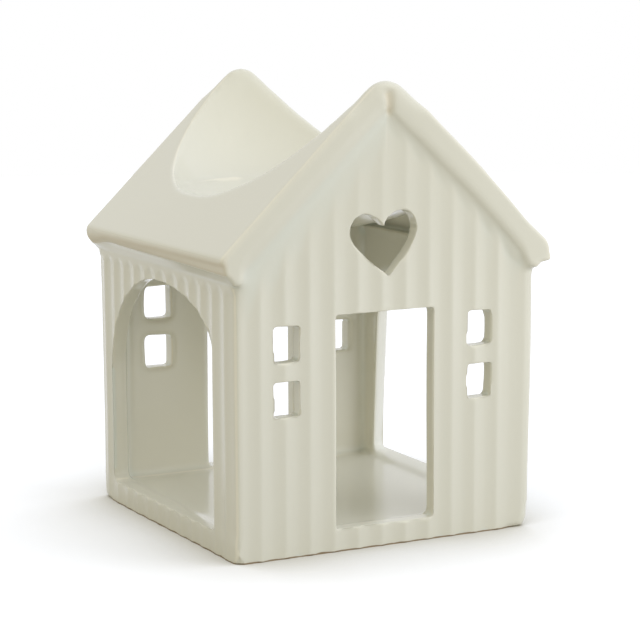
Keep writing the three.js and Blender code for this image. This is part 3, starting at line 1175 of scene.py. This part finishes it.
class Nodes:
    """Adds and links the nodes of one material."""

    def __init__(self, tree):
        self.tree = tree
        tree.nodes.clear()

    def add(self, kind, inputs=None, **settings):
        """A new node, with values or links in its sockets."""
        node = self.tree.nodes.new(kind)
        for key, value in settings.items():
            setattr(node, key, value)
        for socket, value in (inputs or {}).items():
            if isinstance(value, bpy.types.NodeSocket):
                self.tree.links.new(value, node.inputs[socket])
            else:
                node.inputs[socket].default_value = value
        return node

    def ramp(self, value, low, high):
        """Goes smoothly from 0 where the value is low to 1 where it is high."""
        node = self.add(
            "ShaderNodeMapRange",
            {"Value": value, "From Min": low, "From Max": high},
            interpolation_type="SMOOTHSTEP",
        )
        return node.outputs["Result"]

    def blend(self, factor, first, second, mode="MIX"):
        """Mixes two colours, from the first at a factor of 0 to the second at 1."""
        inputs = {MIX_FACTOR: factor, MIX_FIRST: first, MIX_SECOND: second}
        node = self.add("ShaderNodeMix", inputs, data_type="RGBA", blend_type=mode)
        return node.outputs[MIX_RESULT]

    def product(self, first, second):
        """One colour tinted by another."""
        return self.blend(1.0, first, second, "MULTIPLY")

    def maths(self, operation, first, second):
        """The result of one sum of two values."""
        return self.add("ShaderNodeMath", {0: first, 1: second}, operation=operation).outputs[0]

    def noise(self, place, scale, detail=2.0):
        """Soft random clouds between 0 and 1."""
        node = self.add("ShaderNodeTexNoise", {"Vector": place, "Scale": scale, "Detail": detail})
        return node.outputs["Fac"]


def cream_glaze(glaze):
    """A glossy cream glaze: edges paler (thinned glaze, painted highlight), hollows pooled, foot
    wiped bare.
    """
    material = bpy.data.materials.new("cream_glaze")
    material.use_nodes = True
    nodes = Nodes(material.node_tree)
    place = nodes.add("ShaderNodeTexCoord").outputs["Object"]
    depth = nodes.add("ShaderNodeAttribute", attribute_name=GLAZE_DEPTH).outputs["Fac"]
    cloud = nodes.maths("SUBTRACT", nodes.noise(place, CLOUD_SCALE, detail=3.0), 0.5)
    drawn = nodes.maths("ADD", depth, nodes.maths("MULTIPLY", cloud, CLOUD_SHARE))
    # Edges take the paler edge colour: thinned glaze, and partly a painted highlight.
    thin_and_highlight = nodes.ramp(drawn, *THIN_AND_HIGHLIGHT_DEPTHS)
    pooled = nodes.ramp(drawn, *POOLED_DEPTHS)
    painted_shade = nodes.add("ShaderNodeAttribute", attribute_name=GLAZE_PAINTED_SHADE).outputs["Fac"]
    height = nodes.add("ShaderNodeSeparateXYZ", {"Vector": place}).outputs["Z"]
    wiped = nodes.maths("MULTIPLY", nodes.noise(place, WIPING_SCALE), glaze.foot)
    edge = nodes.maths("ADD", height, wiped)
    bare = nodes.ramp(edge, *[glaze.foot * share for share in WIPED_SHARES])
    tone = nodes.blend(thin_and_highlight, tuple(glaze.cream), tuple(glaze.thin_and_highlight))
    tone = nodes.blend(pooled, tone, tuple(glaze.pooled))
    # Painted shade: the warmer tone under the left eave's nose and in the pinch mark.
    tone = nodes.blend(painted_shade, tone, tuple(glaze.painted_shade))
    tone = nodes.blend(bare, tone, tuple(glaze.bare))
    waves = nodes.noise(place, RIPPLE_SCALE)
    ripples = nodes.add(
        "ShaderNodeBump",
        {"Strength": RIPPLE_STRENGTH, "Distance": RIPPLE_DEPTH, "Height": waves},
    )
    bare_dullness = nodes.maths("MULTIPLY", bare, BARE_DULLNESS)
    painted_shade_dullness = nodes.maths("MULTIPLY", painted_shade, PAINTED_SHADE_DULLNESS)
    dullness = nodes.maths("ADD", bare_dullness, painted_shade_dullness)
    gloss = nodes.maths("ADD", dullness, glaze.roughness)
    shader = nodes.add(
        "ShaderNodeBsdfPrincipled",
        {"Base Color": tone, "Roughness": gloss, "Normal": ripples.outputs["Normal"], "IOR": GLASS},
    )
    nodes.add("ShaderNodeOutputMaterial", {"Surface": shader.outputs["BSDF"]})
    return material


# Stage

SENSOR_WIDTH = 36.0
KEY_FROM = Vector((0.2, -0.38, 0.9)).normalized()
SIDE_FROM = Vector((0.4, -0.34, 0.2))
LAMP_SIZE = 0.4
COOL_KEY = (0.955, 0.995, 1.06, 1.0)
WARM_FILL = (0.98, 0.88, 0.57, 1.0)
SIDE_COOLNESS = 0.6
WARM_TO_COOL = (-0.7, 1.0)

FLOOR_RADIUS = 1.2
PAPER = (0.94, 0.95, 1.0, 1.0)
DIM_PAPER = (0.46, 0.45, 0.4, 1.0)
NEAR_LEAN = Vector((0.65, -0.5, 0.57)).normalized()
NEAR_REACH = 44 * MM
NEAR_SHADE = (0.42, 0.38, 0.27, 1.0)
LONG_LEAN = Vector((-0.05, 0.8, 0.6)).normalized()
LONG_REACH = 260 * MM
LONG_SHADE = (0.52, 0.51, 0.46, 1.0)
WHITE = (1.0, 1.0, 1.0, 1.0)


def seen_directly(nodes):
    """1 for camera, glossy and transmission rays, which see the white sweep itself."""
    path = nodes.add("ShaderNodeLightPath").outputs
    mirrored = nodes.maths("MAXIMUM", path["Is Glossy Ray"], path["Is Transmission Ray"])
    return nodes.maths("MAXIMUM", path["Is Camera Ray"], mirrored)


def white_sweep(stage):
    """A soft tent of light, stronger from above and warmer from the left, that looks white."""
    world = bpy.data.worlds.new("white_sweep")
    world.use_nodes = True
    nodes = Nodes(world.node_tree)
    towards = nodes.add("ShaderNodeTexCoord").outputs["Generated"]
    turned = nodes.add("ShaderNodeVectorMath", {0: towards, 1: KEY_FROM}, operation="DOT_PRODUCT")
    lit = turned.outputs["Value"]
    strength = nodes.maths("ADD", nodes.maths("MULTIPLY", lit, stage.key), stage.ambient)
    strength = nodes.maths("MAXIMUM", strength, 0.0)
    axes = nodes.add("ShaderNodeSeparateXYZ", {"Vector": towards}).outputs
    coolness = nodes.maths("ADD", nodes.maths("MULTIPLY", axes["X"], SIDE_COOLNESS), axes["Z"])
    tint = nodes.blend(nodes.ramp(coolness, *WARM_TO_COOL), WARM_FILL, COOL_KEY)
    light = nodes.add("ShaderNodeBackground", {"Color": tint, "Strength": strength})
    white = nodes.add("ShaderNodeBackground", {"Color": WHITE, "Strength": 1.0})
    both = nodes.add(
        "ShaderNodeMixShader",
        {0: seen_directly(nodes), 1: light.outputs[0], 2: white.outputs[0]},
    )
    nodes.add("ShaderNodeOutputWorld", {"Surface": both.outputs[0]})
    return world


def shade_beside(nodes, lean, reach, shade):
    """The tint of the soft shadow that falls on the floor beside the house."""
    sky = nodes.add("ShaderNodeAmbientOcclusion", {"Distance": reach, "Normal": lean})
    return nodes.blend(sky.outputs["AO"], shade, WHITE)


def sweep_floor(context):
    """A pale floor that keeps the house's shadow and fades to the white sweep."""
    bm = bmesh.new()
    bmesh.ops.create_circle(bm, cap_ends=True, segments=96, radius=FLOOR_RADIUS)
    mesh = bpy.data.meshes.new("floor")
    bm.to_mesh(mesh)
    bm.free()
    floor = bpy.data.objects.new("floor", mesh)
    context.scene.collection.objects.link(floor)
    material = bpy.data.materials.new("pale_floor")
    material.use_nodes = True
    nodes = Nodes(material.node_tree)
    seen = seen_directly(nodes)
    close = shade_beside(nodes, NEAR_LEAN, NEAR_REACH, NEAR_SHADE)
    long = shade_beside(nodes, LONG_LEAN, LONG_REACH, LONG_SHADE)
    contact = nodes.product(close, long)
    shown = nodes.blend(seen, DIM_PAPER, nodes.product(contact, PAPER))
    paper = nodes.add("ShaderNodeBsdfDiffuse", {"Color": shown})
    glow = nodes.maths("MULTIPLY", seen, context.scene.burner_stage.glow)
    shine = nodes.add("ShaderNodeEmission", {"Color": contact, "Strength": glow})
    lit = nodes.add("ShaderNodeAddShader", {0: paper.outputs[0], 1: shine.outputs[0]})
    nodes.add("ShaderNodeOutputMaterial", {"Surface": lit.outputs[0]})
    mesh.materials.append(material)


def side_light(context):
    """A large soft light on the right, too soft to show in the glaze."""
    lamp = bpy.data.lights.new("side_light", "AREA")
    lamp.shape = "DISK"
    lamp.size = LAMP_SIZE
    lamp.energy = context.scene.burner_stage.side
    light = bpy.data.objects.new("side_light", lamp)
    light.location = SIDE_FROM
    light.rotation_euler = SIDE_FROM.to_track_quat("Z", "Y").to_euler()
    light.visible_camera = False
    light.visible_glossy = False
    context.scene.collection.objects.link(light)


def house_camera(context):
    """A long lens on the house's front left corner, a little above it."""
    stage = context.scene.burner_stage
    flat = math.cos(stage.elevation)
    back = Vector(
        (math.sin(stage.azimuth) * flat, -math.cos(stage.azimuth) * flat, math.sin(stage.elevation))
    )
    right = Vector((math.cos(stage.azimuth), math.sin(stage.azimuth), 0.0))
    up = back.cross(right)
    tilt = Matrix.Rotation(stage.roll, 4, back)
    turned = Matrix((right, up, back)).transposed().to_4x4()
    lens = bpy.data.cameras.new("camera")
    lens.sensor_width = SENSOR_WIDTH
    lens.lens = stage.focal / MM
    camera = bpy.data.objects.new("camera", lens)
    target = Vector((stage.target_x, 0.0, stage.target_z))
    camera.matrix_world = Matrix.Translation(target + back * stage.distance) @ tilt @ turned
    context.scene.collection.objects.link(camera)
    context.scene.camera = camera


class BURNER_OT_stage(Operator):
    """The pale floor, the soft light and the camera"""

    bl_idname = "burner.stage"
    bl_label = "Stage"

    def execute(self, context):
        context.scene.view_settings.view_transform = "Standard"
        context.scene.world = white_sweep(context.scene.burner_stage)
        sweep_floor(context)
        side_light(context)
        house_camera(context)
        return {"FINISHED"}


OPERATORS = (
    BURNER_OT_base_slab,
    BURNER_OT_gabled_walls,
    BURNER_OT_side_walls,
    BURNER_OT_roof_slopes,
    BURNER_OT_wax_bowl,
    BURNER_OT_glaze,
    BURNER_OT_stage,
)
GROUPS = {
    "burner_body": BurnerBody,
    "burner_roof": BurnerRoof,
    "burner_openings": BurnerOpenings,
    "burner_glaze": BurnerGlaze,
    "burner_stage": BurnerStage,
}


class BURNER_PT_sidebar(Panel):
    """Sizes, finishes and building steps of the house wax burner"""

    bl_idname = "BURNER_PT_sidebar"
    bl_label = "House Wax Burner"
    bl_space_type = "VIEW_3D"
    bl_region_type = "UI"
    bl_category = "Burner"

    def draw(self, context):
        for step in OPERATORS:
            self.layout.operator(step.bl_idname)
        for name, group in GROUPS.items():
            box = self.layout.box()
            for field in group.__annotations__:
                box.prop(getattr(context.scene, name), field)


CLASSES = (*GROUPS.values(), *OPERATORS, BURNER_PT_sidebar)


def register():
    for cls in CLASSES:
        bpy.utils.register_class(cls)
    for name, group in GROUPS.items():
        setattr(bpy.types.Scene, name, PointerProperty(type=group))


def unregister():
    for name in GROUPS:
        delattr(bpy.types.Scene, name)
    for cls in reversed(CLASSES):
        bpy.utils.unregister_class(cls)


def main():
    """Builds the house wax burner and its stage."""
    register()
    bpy.ops.burner.base_slab()
    bpy.ops.burner.gabled_walls()
    bpy.ops.burner.side_walls()
    bpy.ops.burner.roof_slopes()
    bpy.ops.burner.wax_bowl()
    bpy.ops.burner.glaze()
    bpy.ops.burner.stage()


if __name__ == "__main__":
    main()
